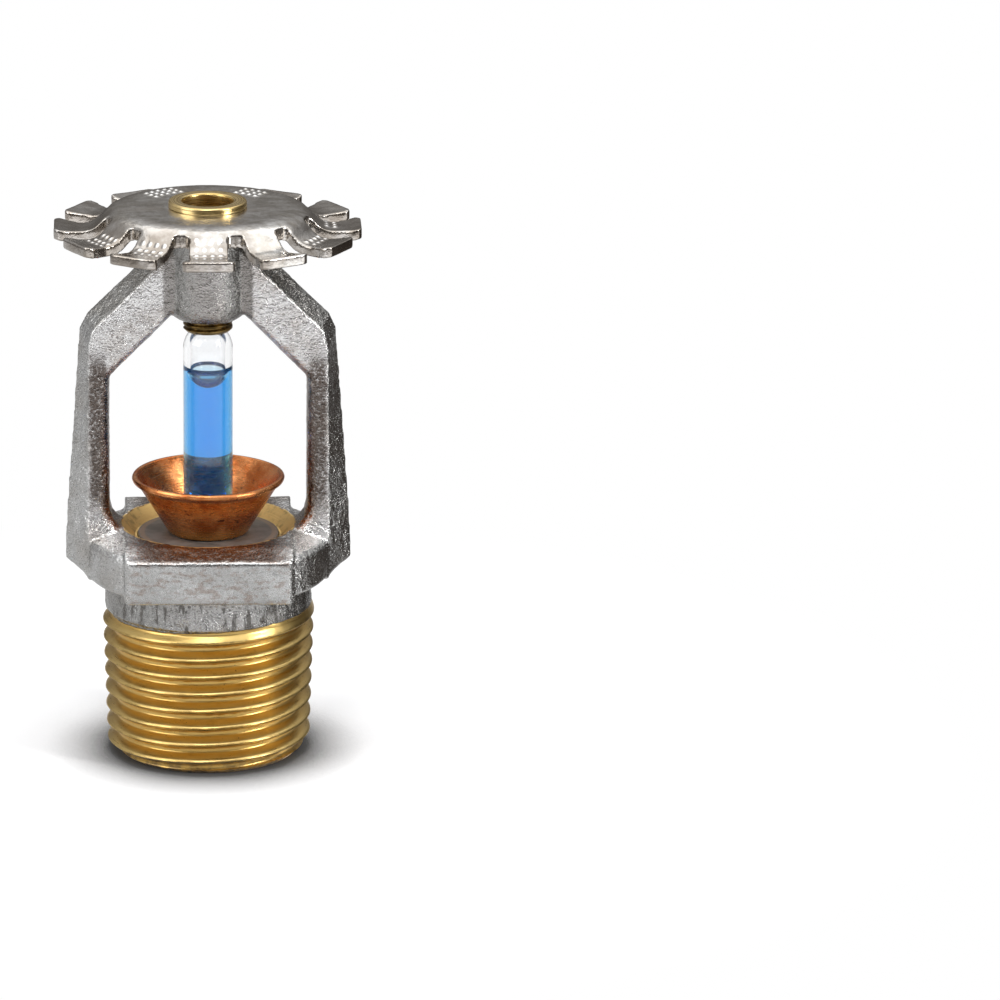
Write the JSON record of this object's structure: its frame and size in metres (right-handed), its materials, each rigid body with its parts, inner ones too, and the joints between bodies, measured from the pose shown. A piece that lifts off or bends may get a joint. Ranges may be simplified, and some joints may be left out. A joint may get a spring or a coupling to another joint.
{
  "type": "fire sprinkler head",
  "caption": "Upright fire sprinkler head: tapered pipe thread, wrench flats, two-arm yoke, toothed deflector, load screw and a glass bulb standing in a copper cup over a spring seal.",
  "frame": {"origin": "centre of the flat inlet end of the pipe thread", "axes": "+Z from the inlet to the deflector, the yoke arms stand at -X and +X, the wrench flats face -Y and +Y"},
  "size_m": [0.0308, 0.0308, 0.0577],
  "materials": {
    "frame_casting": "rough chrome plated brass casting, bare brass on the thread and the seat",
    "deflector_plate": "satin chrome plated bronze sheet",
    "brass_turned": "turned brass",
    "screw_brass": "dark turned brass",
    "bulb_glass": "clear thin glass",
    "bulb_liquid": "blue liquid",
    "copper": "spun copper, lightly tarnished",
    "stainless": "turned stainless steel",
    "spring_alloy": "nickel alloy spring",
    "seal_film": "matt grey PTFE film"
  },
  "bodies": {
    "frame": {"frame": "frame_casting", "deflector": "deflector_plate", "deflector_bushing": "brass_turned"},
    "load_screw": {"load_screw": "screw_brass"},
    "pip_cap": {"pip_cap": "copper", "pip_cap_insert": "stainless", "seal_spring": "spring_alloy", "seal_film_upper": "seal_film", "seal_film_lower": "seal_film"},
    "bulb": {"bulb_glass": "bulb_glass", "bulb_liquid": "bulb_liquid"}
  },
  "joints": [
    {"name": "load_screw_turn", "type": "hinge", "parent": "frame", "child": "load_screw", "pos_m": [0, 0, 0.048], "axis": [0, 0, 1], "range_deg": [0, 180]},
    {"name": "cap_release", "type": "slide", "parent": "frame", "child": "pip_cap", "axis": [0, 0, 1], "range_m": [0, 0.01], "deforming": ["bulb_glass", "bulb_liquid"]},
    {"name": "bulb_release", "type": "slide", "parent": "frame", "child": "bulb", "axis": [0, -1, 0], "range_m": [0, 0.036]}
  ],
  "couplings": [
    {"joint": "bulb_release", "follows": "cap_release", "ratio": 3.5}
  ]
}
